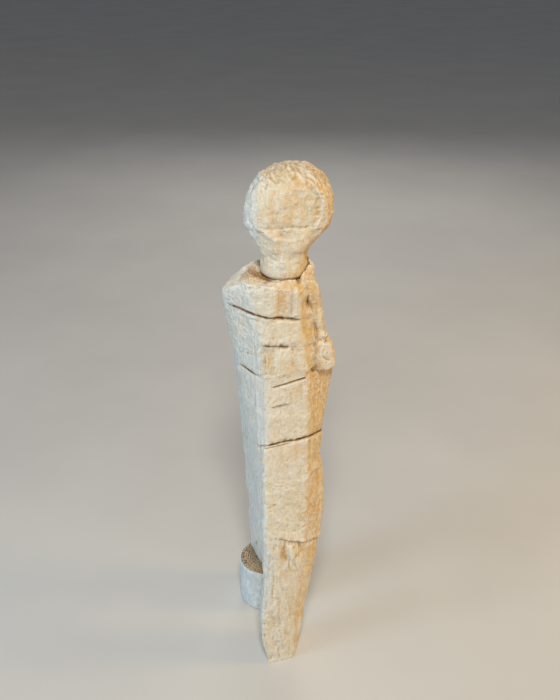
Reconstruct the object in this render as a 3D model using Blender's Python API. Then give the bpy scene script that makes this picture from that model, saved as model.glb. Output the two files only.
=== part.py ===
"""Carved and painted wooden figure: stacked torso blocks on two dowels, a head that turns on
a neck peg, one arm pegged to the side, a long front leg, and a short rear leg on a log foot.
Metres, +Z up. The origin is the centre of the log foot's underside. The figure faces -Y."""

import math

import bmesh
import bpy
import numpy as np
from mathutils import Vector

MM = 0.001

# Torso and legs: corners of the cross-section at each height, in millimetres.
STATIONS = [0, 12, 26, 45, 75, 100, 150, 200, 230, 250, 268, 285, 300, 320, 336, 354]
FRONT_Y = [-81, -80.4, -79.6, -78, -76, -74, -70, -66, -64, -63, -62.5, -62.5, -62, -62.5, -64, -65]
LEFT_FRONT_X = [-20.5, -23, -25, -24.5, -23, -22, -20.5, -19, -18, -17.6, -17.5, -17.5, -18, -19, -20, -21]
LEFT_SIDE = [(-15, -53), (-17, -52), (-19, -51), (-19, -50), (-18.5, -46), (-18, -42),
             (-19, -36), (-21, -34), (-24, -34), (-26, -34), (-29, -33), (-32, -33), (-35, -34),
             (-40, -37), (-42, -41), (-36, -44)]
LEFT_BACK = [(-8, 23), (-8, 23), (-8, 23), (-8, 23), (-10, 20), (-11.5, 16), (-16.2, 8),
             (-20.5, 0), (-23, -3), (-24.5, -5), (-26.5, -7), (-28.5, -10), (-31, -12),
             (-32.5, -15), (-27, -18), (-20, -22)]
RIGHT_BACK = [(17, 20), (17, 20), (17, 20), (17, 20), (22, 17), (26, 14), (30, 6),
              (32, -2), (34, -5), (36, -7), (37, -9), (36, -12), (32, -14), (28, -16), (27, -18), (24, -22)]
RIGHT_SIDE = [(6, -76), (9, -75), (12, -73), (16, -70), (23, -66), (29, -62), (36.5, -55),
              (34.5, -50), (37.5, -48), (41.5, -46.5), (43, -46), (38.5, -45.5), (32.5, -45),
              (28.5, -45), (27.5, -46), (25.5, -47)]
RIGHT_FRONT_X = [2, 2.5, 3, 4, 6, 9, 15, 16.5, 17, 17, 16, 14.5, 13, 12, 10, 8]
CORNER_RADII = [2.5, 9, 6, 8, 6, 4]
CORNER_STEPS = 3
RING_STEP = 8.4

# The arch between the legs, seen from the side (y, z).
ARCH = [(-54, -2), (-54, 40), (-56, 60), (-58, 85), (-57.5, 98), (-54, 105), (-46, 106), (-36, 99),
        (-28, 90), (-20, 72), (-12, 54), (-7.5, 45.7), (60, 45.7), (60, -2)]

# Wedge taken off the left of the rear ankle: two levels of (x, y).
ANKLE = [(44.0, [(-40, -24), (-4.8, -24), (-8.8, 21), (-10, 40), (-40, 40)]),
         (72.0, [(-40, -28), (-12, -28), (-12.8, 21), (-13, 40), (-40, 40)]),
         (100.0, [(-40, -38), (-20, -38), (-14, 21), (-14, 40), (-40, 40)])]

# Saw cuts between the blocks: height at the middle of the front, slope along x, slope along y.
CUT_GAP = 0.6
CUTS = [(317.6, -0.20, 0.0), (295.4, -0.14, 0.0), (270.3, -0.04, 0.0), (247.0, 0.05, 0.0),
        (215.1, 0.05, -0.45)]
CUT_LINE_X = -1.0
CUT_LINE_Y = -64.0
BLOCK_NAMES = ["shoulder_block", "chest_block", "rib_block", "belly_block", "waist_block", "leg_block"]

# Shoulder top, its hollow and the neck's seat.
SHOULDER_PLANES = [((0, -45, 347.0), (0.03, -0.20, 1.0)), ((0, -62, 341.5), (0.30, -0.85, 1.0)),
                   ((-38, -45, 343.0), (-0.9, -0.1, 1.0)), ((0, -24, 348.5), (0.0, 0.60, 1.0)),
                   ((25, -40, 346.0), (1.0, 0.0, 1.0)), ((-29, -30, 341.0), (-0.85, 0.45, 1.0)),
                   ((-13, -24, 347.0), (-0.64, 0.30, 1.0))]
NECK_X = 5.2
NECK_Y = -39.0
HOLLOW_FLOOR = 342.0
PEG_R = 4.0
PEG_CLEARANCE = 0.3
NECK_PEG_LOW = 326.0
NECK_PEG_HIGH = 368.0

# Head: height, centre across, half width, front depth, back depth; and its turn about the neck.
HEAD_Y = -38.0
HEAD_TURN = math.radians(-16.0)
HEAD_RINGS = [(342.4, 5.2, 15.2, 15.2, 15.2), (345, 5.2, 17.0, 17.0, 17.0), (352, 5.2, 17.0, 17.0, 17.0),
              (355, 5.2, 17.0, 17.0, 16.6), (359, 5.2, 17.0, 17.0, 16.4), (363, 5.0, 18.6, 17.8, 17.2),
              (367, 5.4, 21.2, 19.0, 18.6), (371, 6.0, 24.2, 20.2, 20.4), (375, 6.6, 26.8, 21.4, 22.2),
              (379, 7.2, 28.8, 22.6, 23.6), (383, 7.8, 30.0, 23.0, 24.6), (388, 8.4, 30.5, 23.2, 25.2),
              (393, 8.8, 30.4, 23.2, 25.4), (398, 9.4, 29.6, 23.0, 25.0), (403, 10.0, 27.6, 22.6, 23.8),
              (408, 10.6, 24.8, 21.4, 21.8), (412, 11.0, 21.4, 18.8, 19.2), (416, 11.4, 16.2, 14.4, 14.8),
              (418.6, 11.6, 10.6, 9.6, 9.8), (419.8, 11.6, 5.6, 5.0, 5.2)]
HEAD_SIDES = 32

# Arm: height, inner x, outer x, front y, back y.
ARM_RINGS = [(341.2, 14.8, 22.6, -58.5, -37), (338, 14.8, 24.6, -59, -36), (330, 17.4, 26.8, -59, -34),
             (318, 20.0, 28.6, -58.5, -33), (306, 22.4, 30.8, -58.5, -33), (296, 24.0, 34.0, -59, -33),
             (291, 24.4, 37.0, -60, -33), (284, 24.6, 38.4, -60.5, -34), (276, 24.6, 38.8, -60.5, -35),
             (271.5, 25.4, 38.0, -60, -36)]
ARM_FIT = 0.4

# Pegs and dowels.
DOWEL_R = 4.0
DOWEL_SPOTS = [("spine_dowel_left", -8.0, -38.0), ("spine_dowel_right", 19.0, -28.0)]
DOWEL_LOW = 172.0
DOWEL_HIGH = 336.0
ARM_PEG_R = 2.5
ARM_PEGS = [("arm_peg_upper", 333.0, -49.0, 11.5, 22.5), ("arm_peg_lower", 284.0, -48.0, 16.0, 33.0)]
FOOT_PEG_R = 3.5
FOOT_PEG_X = 3.0
FOOT_PEG_Y = 6.0
FOOT_PEG_LOW = 24.0
FOOT_PEG_HIGH = 62.0

# Log foot.
LOG_R = 24.2
LOG_HEIGHT = 45.2
LOG_SIDES = 40


def clear_scene():
    for item in list(bpy.data.objects):
        bpy.data.objects.remove(item, do_unlink=True)


def curve(z, knots, values):
    """Smooth curve through the values at the knots."""
    knots = np.asarray(knots, float)
    values = np.asarray(values, float)
    slopes = np.gradient(values, knots)
    i = int(np.clip(np.searchsorted(knots, z, "right") - 1, 0, len(knots) - 2))
    width = knots[i + 1] - knots[i]
    t = (z - knots[i]) / width
    a = (1 + 2 * t) * (1 - t) ** 2
    b = t * (1 - t) ** 2
    c = t * t * (3 - 2 * t)
    d = t * t * (t - 1)
    return float(a * values[i] + b * width * slopes[i] + c * values[i + 1] + d * width * slopes[i + 1])


def corner_at(z, pairs):
    return Vector((curve(z, STATIONS, [p[0] for p in pairs]), curve(z, STATIONS, [p[1] for p in pairs])))


def body_corners(z):
    """The six corners of the torso's section, anticlockwise from the left front."""
    front = curve(z, STATIONS, FRONT_Y)
    left_front = Vector((curve(z, STATIONS, LEFT_FRONT_X), front))
    right_front = Vector((curve(z, STATIONS, RIGHT_FRONT_X), front))
    return [left_front, right_front, corner_at(z, RIGHT_SIDE), corner_at(z, RIGHT_BACK),
            corner_at(z, LEFT_BACK), corner_at(z, LEFT_SIDE)]


def rounded(corners, radii, steps):
    """Round each corner of a polygon with a short curve of equal point count."""
    points = []
    count = len(corners)
    for i in range(count):
        here = corners[i]
        before = corners[i - 1] - here
        after = corners[(i + 1) % count] - here
        start = here + before.normalized() * min(radii[i], before.length * 0.45)
        end = here + after.normalized() * min(radii[i], after.length * 0.45)
        for k in range(steps + 1):
            t = k / steps
            points.append(start * (1 - t) ** 2 + here * (2 * t * (1 - t)) + end * (t * t))
    return points


def body_ring(z):
    radii = [CORNER_RADII[0], CORNER_RADII[5], CORNER_RADII[4], CORNER_RADII[3],
             CORNER_RADII[2], CORNER_RADII[1]]
    flat = rounded(body_corners(z), radii, CORNER_STEPS)
    return [Vector((p.x, p.y, z)) for p in flat]


def make_object(name, bm):
    """Scale from millimetres, triangulate, and link one named object."""
    bmesh.ops.scale(bm, vec=(MM, MM, MM), verts=bm.verts)
    bmesh.ops.recalc_face_normals(bm, faces=bm.faces)
    mesh = bpy.data.meshes.new(name)
    bm.to_mesh(mesh)
    bm.free()
    item = bpy.data.objects.new(name, mesh)
    bpy.context.scene.collection.objects.link(item)
    return item


def loft(name, rings):
    """Closed solid through equal-count rings, given from bottom to top."""
    bm = bmesh.new()
    rows = [[bm.verts.new(p) for p in ring] for ring in rings]
    count = len(rows[0])
    for low, high in zip(rows, rows[1:]):
        for i in range(count):
            j = (i + 1) % count
            bm.faces.new((low[i], low[j], high[j], high[i]))
    bm.faces.new(list(reversed(rows[0])))
    bm.faces.new(rows[-1])
    return make_object(name, bm)


def circle(x, y, z, radius, sides, axis="z"):
    points = []
    for i in range(sides):
        a = 2 * math.pi * i / sides
        if axis == "z":
            points.append(Vector((x + radius * math.cos(a), y + radius * math.sin(a), z)))
        else:
            points.append(Vector((x, y + radius * math.cos(a), z + radius * math.sin(a))))
    return points


def rod(name, x, y, low, high, radius, chamfer=0.8, sides=32):
    """Upright round rod with chamfered ends."""
    return loft(name, [circle(x, y, low, radius - chamfer, sides), circle(x, y, low + chamfer, radius, sides),
                       circle(x, y, high - chamfer, radius, sides), circle(x, y, high, radius - chamfer, sides)])


def side_rod(name, low_x, high_x, y, z, radius, chamfer=0.5, sides=24):
    """Round rod lying along x with chamfered ends."""
    return loft(name, [circle(low_x, y, z, radius - chamfer, sides, "x"),
                       circle(low_x + chamfer, y, z, radius, sides, "x"),
                       circle(high_x - chamfer, y, z, radius, sides, "x"),
                       circle(high_x, y, z, radius - chamfer, sides, "x")])


def boolean(target, cutter, keep=False):
    """Cut one solid from another with the exact solver."""
    step = target.modifiers.new("cut", "BOOLEAN")
    step.operation = "DIFFERENCE"
    step.solver = "EXACT"
    step.object = cutter
    bpy.context.view_layer.update()
    graph = bpy.context.evaluated_depsgraph_get()
    mesh = bpy.data.meshes.new_from_object(target.evaluated_get(graph))
    target.modifiers.clear()
    old = target.data
    target.data = mesh
    mesh.name = target.name
    bpy.data.meshes.remove(old)
    if not keep:
        bpy.data.objects.remove(cutter, do_unlink=True)


def cut_plane(item, point, normal, keep_below):
    """Slice a solid with a plane and close the cut face."""
    bm = bmesh.new()
    bm.from_mesh(item.data)
    way = Vector(normal).normalized()
    geometry = list(bm.verts) + list(bm.edges) + list(bm.faces)
    result = bmesh.ops.bisect_plane(bm, geom=geometry, dist=1e-7, plane_co=Vector(point) * MM,
                                    plane_no=way, clear_outer=keep_below, clear_inner=not keep_below)
    edges = [e for e in result["geom_cut"] if isinstance(e, bmesh.types.BMEdge)]
    bmesh.ops.holes_fill(bm, edges=edges, sides=0)
    bmesh.ops.recalc_face_normals(bm, faces=bm.faces)
    bm.to_mesh(item.data)
    bm.free()


def copy_of(item, name):
    mesh = item.data.copy()
    mesh.name = name
    twin = bpy.data.objects.new(name, mesh)
    bpy.context.scene.collection.objects.link(twin)
    return twin


def make_blocks():
    """Loft the whole body, cut the arch and shoulder top, and saw it into blocks."""
    heights = np.linspace(0, STATIONS[-1], int(round(STATIONS[-1] / RING_STEP)) + 1)
    body = loft("body", [body_ring(float(z)) for z in heights])
    for point, normal in SHOULDER_PLANES:
        cut_plane(body, point, normal, True)
    arch = loft("arch", [[Vector((x, y, z)) for y, z in ARCH] for x in (-70, 70)])
    boolean(body, arch)
    boolean(body, loft("ankle", [[Vector((x, y, z)) for x, y in ring] for z, ring in ANKLE]))
    blocks = []
    for index, name in enumerate(BLOCK_NAMES):
        block = copy_of(body, name)
        if index > 0:
            height, slope_x, slope_y = CUTS[index - 1]
            point = (CUT_LINE_X, CUT_LINE_Y, height - CUT_GAP / 2)
            cut_plane(block, point, (-slope_x, -slope_y, 1.0), True)
        if index < len(CUTS):
            height, slope_x, slope_y = CUTS[index]
            point = (CUT_LINE_X, CUT_LINE_Y, height + CUT_GAP / 2)
            cut_plane(block, point, (-slope_x, -slope_y, 1.0), False)
        blocks.append(block)
    bpy.data.objects.remove(body, do_unlink=True)
    return dict(zip(BLOCK_NAMES, blocks))


def hollow_cutter():
    """Open bowl in the shoulder's top, drawn out towards the left shoulder."""
    levels = [(HOLLOW_FLOOR, 5.2, 17.6, 17.6), (344.0, 3.6, 19.4, 17.95), (347.0, 0.4, 22.7, 18.85),
              (351.0, -3.6, 27.0, 19.85), (360.0, -5.6, 30.0, 20.4)]
    rings = []
    for z, x, half_x, half_y in levels:
        ring = []
        for i in range(36):
            a = 2 * math.pi * i / 36
            ring.append(Vector((x + half_x * math.cos(a), NECK_Y + half_y * math.sin(a), z)))
        rings.append(ring)
    return loft("hollow", rings)


def head_ring(z, centre_x, half_width, front, back):
    """One level of the head: round behind, flattened in front, turned a little."""
    mix = min(1.0, max(0.0, (z - 352.0) / 22.0))
    centre_y = NECK_Y + (HEAD_Y - NECK_Y) * mix
    points = []
    for i in range(HEAD_SIDES):
        a = 2 * math.pi * i / HEAD_SIDES
        across = half_width * math.cos(a)
        power = 1.0 - 0.22 * mix
        reach = front if math.sin(a) < 0 else back
        along = math.copysign(abs(math.sin(a)) ** power, math.sin(a)) * reach
        x = across * math.cos(HEAD_TURN) - along * math.sin(HEAD_TURN)
        y = across * math.sin(HEAD_TURN) + along * math.cos(HEAD_TURN)
        points.append(Vector((centre_x + x, centre_y + y, z)))
    return points


def make_head():
    head = loft("head", [head_ring(*row) for row in HEAD_RINGS])
    bore = rod("bore", NECK_X, NECK_Y, HOLLOW_FLOOR - 4, NECK_PEG_HIGH + 0.8, PEG_R + PEG_CLEARANCE, 0.0)
    boolean(head, bore)
    pivot = Vector((NECK_X * MM, NECK_Y * MM, NECK_PEG_LOW * MM))
    for vertex in head.data.vertices:
        vertex.co -= pivot
    head.location = pivot
    return head


def arm_solid(name, grow):
    rings = []
    for index, (z, inner, outer, front, back) in enumerate(ARM_RINGS):
        top = grow if index == 0 else 0.0
        bottom = grow if index == len(ARM_RINGS) - 1 else 0.0
        corners = [Vector((inner - grow, front - grow)), Vector((outer + grow, front - grow)),
                   Vector((outer + grow, back + grow)), Vector((inner - grow, back + grow))]
        flat = rounded(corners, [2.5, 5.0, 5.0, 2.5], 4)
        rings.append([Vector((p.x, p.y, z + top - bottom)) for p in flat])
    return loft(name, list(reversed(rings)))


def make_arm(blocks):
    """Seat the arm in a shallow recess and peg it to the shoulder and the ribs."""
    arm = arm_solid("left_arm", 0.0)
    for name in ("shoulder_block", "chest_block", "rib_block", "belly_block"):
        boolean(blocks[name], arm_solid("recess", ARM_FIT))
    for name, z, y, low_x, high_x in ARM_PEGS:
        grow = PEG_CLEARANCE
        side_rod(name, low_x, high_x, y, z, ARM_PEG_R)
        holder = "shoulder_block" if z > 320 else "rib_block"
        for target in (blocks[holder], arm):
            boolean(target, side_rod("hole", low_x - grow, high_x + grow, y, z, ARM_PEG_R + grow))
    return arm


def make_dowels(blocks):
    grow = PEG_CLEARANCE
    for name, x, y in DOWEL_SPOTS:
        rod(name, x, y, DOWEL_LOW, DOWEL_HIGH, DOWEL_R)
        for block in blocks.values():
            boolean(block, rod("hole", x, y, DOWEL_LOW - grow, DOWEL_HIGH + grow, DOWEL_R + grow, 0.5))


def make_log(blocks):
    """Short round log under the rear leg, and the peg that joins them."""
    levels = [(0.0, LOG_R - 1.4), (1.6, LOG_R - 0.3), (6.0, LOG_R), (24.0, LOG_R - 0.2),
              (40.0, LOG_R), (44.2, LOG_R - 0.2), (LOG_HEIGHT, LOG_R - 0.9)]
    log = loft("log_foot", [circle(0, 0, z, r, LOG_SIDES) for z, r in levels])
    rod("foot_peg", FOOT_PEG_X, FOOT_PEG_Y, FOOT_PEG_LOW, FOOT_PEG_HIGH, FOOT_PEG_R, 0.6, 24)
    grow = PEG_CLEARANCE
    for target in (log, blocks["leg_block"]):
        hole = rod("hole", FOOT_PEG_X, FOOT_PEG_Y, FOOT_PEG_LOW - grow, FOOT_PEG_HIGH + grow,
                   FOOT_PEG_R + grow, 0.5, 24)
        boolean(target, hole)


def make_neck(blocks):
    boolean(blocks["shoulder_block"], hollow_cutter())
    grow = PEG_CLEARANCE
    rod("neck_peg", NECK_X, NECK_Y, NECK_PEG_LOW, NECK_PEG_HIGH, PEG_R)
    hole = rod("hole", NECK_X, NECK_Y, NECK_PEG_LOW - grow, HOLLOW_FLOOR + 6, PEG_R + grow, 0.0)
    boolean(blocks["shoulder_block"], hole)


def paint(item, color, roughness):
    """Give an object its own plain material."""
    material = bpy.data.materials.new(item.name)
    material.use_nodes = True
    shader = material.node_tree.nodes["Principled BSDF"]
    shader.inputs["Base Color"].default_value = (*color, 1.0)
    shader.inputs["Roughness"].default_value = roughness
    item.data.materials.clear()
    item.data.materials.append(material)


def main():
    clear_scene()
    blocks = make_blocks()
    make_neck(blocks)
    make_arm(blocks)
    make_dowels(blocks)
    make_log(blocks)
    make_head()
    bare = {"neck_peg", "arm_peg_upper", "arm_peg_lower", "spine_dowel_left", "spine_dowel_right", "foot_peg"}
    for item in bpy.context.scene.objects:
        if item.name in bare:
            paint(item, (0.42, 0.26, 0.13), 0.75)
        else:
            paint(item, (0.76, 0.67, 0.52), 0.62)


main()
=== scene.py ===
"""Looks for the carved, painted wooden figure: lumpy gesso over knife-cut blocks, split at the saw cuts."""

import math

import bmesh
import bpy
import numpy as np
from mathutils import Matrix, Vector


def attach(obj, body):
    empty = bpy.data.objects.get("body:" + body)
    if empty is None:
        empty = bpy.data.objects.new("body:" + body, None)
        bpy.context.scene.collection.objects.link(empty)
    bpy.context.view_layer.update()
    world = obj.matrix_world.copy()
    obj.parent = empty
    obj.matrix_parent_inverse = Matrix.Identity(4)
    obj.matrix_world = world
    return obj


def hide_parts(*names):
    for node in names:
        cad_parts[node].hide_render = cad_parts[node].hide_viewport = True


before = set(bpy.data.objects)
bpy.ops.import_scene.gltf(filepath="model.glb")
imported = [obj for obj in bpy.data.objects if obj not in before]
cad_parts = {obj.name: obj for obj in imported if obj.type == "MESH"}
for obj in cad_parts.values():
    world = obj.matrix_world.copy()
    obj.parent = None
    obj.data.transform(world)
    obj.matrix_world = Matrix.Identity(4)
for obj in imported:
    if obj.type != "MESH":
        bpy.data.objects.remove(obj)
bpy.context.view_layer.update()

MM = 0.001
VOXEL = 0.62

# ---------------------------------------------------------------- body profile, in millimetres
STATIONS = [0, 12, 26, 45, 75, 100, 150, 200, 230, 250, 268, 285, 300, 320, 336, 354]
FRONT_Y = [-81, -80.4, -79.6, -78, -76, -74, -70, -66, -64, -63, -62.5, -62.5, -62, -62.5, -64, -65]
LEFT_FRONT_X = [-20.5, -23, -25, -24.5, -23, -22, -20.5, -19, -18, -17.6, -17.5, -17.5, -18, -19, -20, -21]
LEFT_SIDE = [(-15, -53), (-17, -52), (-19, -51), (-19, -50), (-18.5, -46), (-18, -42),
             (-19, -36), (-21, -34), (-24, -34), (-26, -34), (-29, -33), (-32, -33), (-35, -34),
             (-40, -37), (-42, -41), (-36, -44)]
LEFT_BACK = [(-8, 23), (-8, 23), (-8, 23), (-8, 23), (-10, 20), (-11.5, 16), (-16.2, 8),
             (-20.5, 0), (-23, -3), (-24.5, -5), (-26.5, -7), (-28.5, -10), (-31, -12),
             (-32.5, -15), (-27, -18), (-20, -22)]
RIGHT_BACK = [(17, 20), (17, 20), (17, 20), (17, 20), (22, 17), (26, 14), (30, 6),
              (32, -2), (34, -5), (36, -7), (37, -9), (36, -12), (32, -14), (28, -16), (27, -18), (24, -22)]
RIGHT_SIDE = [(6, -76), (9, -75), (12, -73), (16, -70), (23, -66), (29, -62), (36.5, -55),
              (34.5, -50), (37.5, -48), (41.5, -46.5), (43, -46), (38.5, -45.5), (32.5, -45),
              (28.5, -45), (27.5, -46), (25.5, -47)]
RIGHT_FRONT_X = [2, 2.5, 3, 4, 6, 9, 15, 16.5, 17, 17, 16, 14.5, 13, 12, 10, 8]
CORNER_RADII = [2.5, 4.0, 6.0, 8.0, 6.0, 9.0]
LEFT_FRONT_RADIUS = [2, 2, 2.5, 3, 8, 9, 5, 4, 10, 10, 13, 10, 6, 10, 13, 13]
ARCH = [(-54, -2), (-54, 40), (-56, 60), (-58, 85), (-57.5, 98), (-54, 105), (-46, 106), (-36, 99),
        (-28, 90), (-20, 72), (-12, 54), (-7.5, 45.7), (60, 45.7), (60, -2)]
ANKLE = [(44.0, [(-40, -24), (-4.8, -24), (-8.8, 21), (-10, 40), (-40, 40)]),
         (72.0, [(-40, -28), (-12, -28), (-12.8, 21), (-13, 40), (-40, 40)]),
         (100.0, [(-40, -38), (-20, -38), (-14, 21), (-14, 40), (-40, 40)])]
SHOULDER_PLANES = [((0, -45, 347.0), (0.03, -0.20, 1.0)), ((0, -62, 341.5), (0.30, -0.85, 1.0)),
                   ((-38, -45, 343.0), (-0.9, -0.1, 1.0)), ((0, -24, 348.5), (0.0, 0.60, 1.0)),
                   ((25, -40, 346.0), (1.0, 0.0, 1.0)), ((-29, -30, 341.0), (-0.85, 0.45, 1.0)),
                   ((-13, -24, 347.0), (-0.64, 0.30, 1.0))]
HOLLOW = [(342.0, 5.2, 17.6, 17.6), (344.0, 3.6, 19.4, 17.95), (347.0, 0.4, 22.7, 18.85),
          (351.0, -3.6, 27.0, 19.85), (360.0, -5.6, 30.0, 20.4)]
NECK = (5.2, -39.0)
ARM_RINGS = [(341.2, 14.8, 22.6, -58.5, -37), (338, 14.8, 24.6, -59, -36), (330, 17.4, 26.8, -59, -34),
             (318, 20.0, 28.6, -58.5, -33), (306, 22.4, 30.8, -58.5, -33), (296, 24.0, 34.0, -59, -33),
             (291, 24.4, 37.0, -60, -33), (284, 24.6, 38.4, -60.5, -34), (276, 24.6, 38.8, -60.5, -35),
             (271.5, 25.4, 38.0, -60, -36)]
HEAD_Y = -38.0
HEAD_TURN = math.radians(-16.0)
FACE_TURN = math.radians(-6.0)
HEAD_RINGS = [(342.4, 5.2, 15.2, 15.2, 15.2), (345, 5.2, 17.0, 17.0, 17.0), (352, 5.2, 17.0, 17.0, 17.0),
              (355, 5.2, 17.0, 17.0, 16.6), (359, 5.2, 17.0, 17.0, 16.4), (363, 5.0, 18.6, 17.8, 17.2),
              (367, 5.4, 21.2, 19.0, 18.6), (371, 6.0, 24.2, 20.2, 20.4), (375, 6.6, 26.8, 21.4, 22.2),
              (379, 7.2, 28.8, 22.6, 23.6), (383, 7.8, 30.0, 23.0, 24.6), (388, 8.4, 30.5, 23.2, 25.2),
              (393, 8.8, 30.4, 23.2, 25.4), (398, 9.4, 29.6, 23.0, 25.0), (403, 10.0, 27.6, 22.6, 23.8),
              (408, 10.6, 24.8, 21.4, 21.8), (412, 11.0, 21.4, 18.8, 19.2), (416, 11.4, 16.2, 14.4, 14.8),
              (418.6, 11.6, 10.6, 9.6, 9.8), (419.8, 11.6, 5.6, 5.0, 5.2)]
SEAT_R = 17.5
SEAT_RING = 0.5
SEAT_FLOOR = 342.05
FOOT_R = 17.1
FOOT_BOTTOM = 342.35
LOG_R = 24.2
LOG_HEIGHT = 45.2

# Saw cuts: height at the middle of the front, slope along x, slope along y.
CUTS = [(317.6, -0.20, 0.0), (295.4, -0.14, 0.0), (270.3, -0.04, 0.0), (247.0, 0.05, 0.0),
        (215.1, 0.05, -0.45)]
CUT_LINE = (-1.0, -64.0)
BLOCKS = ["shoulder_block", "chest_block", "rib_block", "belly_block", "waist_block", "leg_block"]


BELLY_CRACK = [(-10.2, -62.8, 262.4), (0.1, -62.8, 264.7), (14.8, -62.4, 267.2)]


# ---------------------------------------------------------------- noise and small maths
def lattice(i, j, k, seed):
    """One repeatable 24-bit number for each whole-number cell."""
    h = (i * 73856093) ^ (j * 19349663) ^ (k * 83492791) ^ (seed * 40503)
    h = (h ^ (h >> 13)) & 0xFFFFFFFF
    h = (h * 1274126177) & 0xFFFFFFFF
    h = (h ^ (h >> 16)) & 0xFFFFFFFF
    h = (h * 2246822519) & 0xFFFFFFFF
    return h >> 8


def noise(p, size, seed=0):
    """Smooth gradient noise, about -1 to 1, with cells of the given size in millimetres."""
    q = p / np.asarray(size, float) + 512.0
    cell = np.floor(q).astype(np.int64)
    f = q - cell
    ease = f * f * f * (f * (f * 6 - 15) + 10)
    total = np.zeros(len(p))
    for a in (0, 1):
        wa = ease[:, 0] if a else 1 - ease[:, 0]
        for b in (0, 1):
            wb = ease[:, 1] if b else 1 - ease[:, 1]
            for c in (0, 1):
                wc = ease[:, 2] if c else 1 - ease[:, 2]
                h = lattice(cell[:, 0] + a, cell[:, 1] + b, cell[:, 2] + c, seed)
                slope = ((h & 255) / 127.5 - 1) * (f[:, 0] - a)
                slope += (((h >> 8) & 255) / 127.5 - 1) * (f[:, 1] - b)
                slope += (((h >> 16) & 255) / 127.5 - 1) * (f[:, 2] - c)
                total += wa * wb * wc * slope
    return 1.9 * total


def bell(d, width):
    return np.exp(-(d / width) ** 2)


def step(x, low, high):
    t = np.clip((x - low) / (high - low), 0, 1)
    return t * t * (3 - 2 * t)


def spot(p, centre, size):
    """1 at the centre, falling off over size along each axis."""
    d = (p - np.asarray(centre, float)) / np.asarray(size, float)
    return np.exp(-(d * d).sum(1))


def line(p, points, width):
    """1 along a bent line through the points, falling off over width."""
    best = np.full(len(p), 1e9)
    points = [np.asarray(q, float) for q in points]
    for a, b in zip(points, points[1:]):
        way = b - a
        t = np.clip(((p - a) @ way) / (way @ way), 0, 1)
        best = np.minimum(best, ((p - a - t[:, None] * way) ** 2).sum(1))
    return np.exp(-best / width ** 2)


def curve(z, knots, values):
    """Smooth curve through the values at the knots."""
    knots = np.asarray(knots, float)
    values = np.asarray(values, float)
    slopes = np.gradient(values, knots)
    i = int(np.clip(np.searchsorted(knots, z, "right") - 1, 0, len(knots) - 2))
    width = knots[i + 1] - knots[i]
    t = (z - knots[i]) / width
    a = (1 + 2 * t) * (1 - t) ** 2
    b = t * (1 - t) ** 2
    c = t * t * (3 - 2 * t)
    d = t * t * (t - 1)
    return float(a * values[i] + b * width * slopes[i] + c * values[i + 1] + d * width * slopes[i + 1])


# ---------------------------------------------------------------- solids
def loft(name, rings):
    bm = bmesh.new()
    rows = [[bm.verts.new(Vector(p) * MM) for p in ring] for ring in rings]
    count = len(rows[0])
    for low, high in zip(rows, rows[1:]):
        for i in range(count):
            j = (i + 1) % count
            bm.faces.new((low[i], low[j], high[j], high[i]))
    bm.faces.new(list(reversed(rows[0])))
    bm.faces.new(rows[-1])
    bmesh.ops.recalc_face_normals(bm, faces=bm.faces)
    mesh = bpy.data.meshes.new(name)
    bm.to_mesh(mesh)
    bm.free()
    item = bpy.data.objects.new(name, mesh)
    bpy.context.scene.collection.objects.link(item)
    return item


def rounded(corners, radii, steps):
    points = []
    count = len(corners)
    for i in range(count):
        here = corners[i]
        before = corners[i - 1] - here
        after = corners[(i + 1) % count] - here
        start = here + before.normalized() * min(radii[i], before.length * 0.45)
        end = here + after.normalized() * min(radii[i], after.length * 0.45)
        for k in range(steps + 1):
            t = k / steps
            points.append(start * (1 - t) ** 2 + here * (2 * t * (1 - t)) + end * (t * t))
    return points


def body_ring(z):
    def pair(table):
        return Vector((curve(z, STATIONS, [p[0] for p in table]), curve(z, STATIONS, [p[1] for p in table])))

    front = curve(z, STATIONS, FRONT_Y)
    corners = [Vector((curve(z, STATIONS, LEFT_FRONT_X), front)),
               Vector((curve(z, STATIONS, RIGHT_FRONT_X), front)),
               pair(RIGHT_SIDE), pair(RIGHT_BACK), pair(LEFT_BACK), pair(LEFT_SIDE)]
    radii = [curve(z, STATIONS, LEFT_FRONT_RADIUS)] + CORNER_RADII[1:]
    return [(p.x, p.y, z) for p in rounded(corners, radii, 6)]


def bake_modifiers(item):
    bpy.context.view_layer.update()
    graph = bpy.context.evaluated_depsgraph_get()
    mesh = bpy.data.meshes.new_from_object(item.evaluated_get(graph))
    item.modifiers.clear()
    old = item.data
    item.data = mesh
    bpy.data.meshes.remove(old)


def cut(target, cutter):
    mod = target.modifiers.new("cut", "BOOLEAN")
    mod.operation = "DIFFERENCE"
    mod.solver = "EXACT"
    mod.object = cutter
    bake_modifiers(target)
    bpy.data.objects.remove(cutter, do_unlink=True)


def remesh(item, size):
    mod = item.modifiers.new("remesh", "REMESH")
    mod.mode = "VOXEL"
    mod.voxel_size = size * MM
    mod.adaptivity = 0.0
    bake_modifiers(item)


def slice_off(bm, point, normal, keep_below):
    """Cut with a plane through point (mm), drop one side and close the cut."""
    result = bmesh.ops.bisect_plane(bm, geom=list(bm.verts) + list(bm.edges) + list(bm.faces), dist=1e-7,
                                    plane_co=Vector(point) * MM, plane_no=Vector(normal).normalized(),
                                    clear_outer=keep_below, clear_inner=not keep_below)
    edges = [e for e in result["geom_cut"] if isinstance(e, bmesh.types.BMEdge)]
    return bmesh.ops.holes_fill(bm, edges=edges, sides=0)["faces"]


def slice_object(item, point, normal):
    bm = bmesh.new()
    bm.from_mesh(item.data)
    slice_off(bm, point, normal, True)
    bmesh.ops.recalc_face_normals(bm, faces=bm.faces)
    bm.to_mesh(item.data)
    bm.free()


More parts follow.
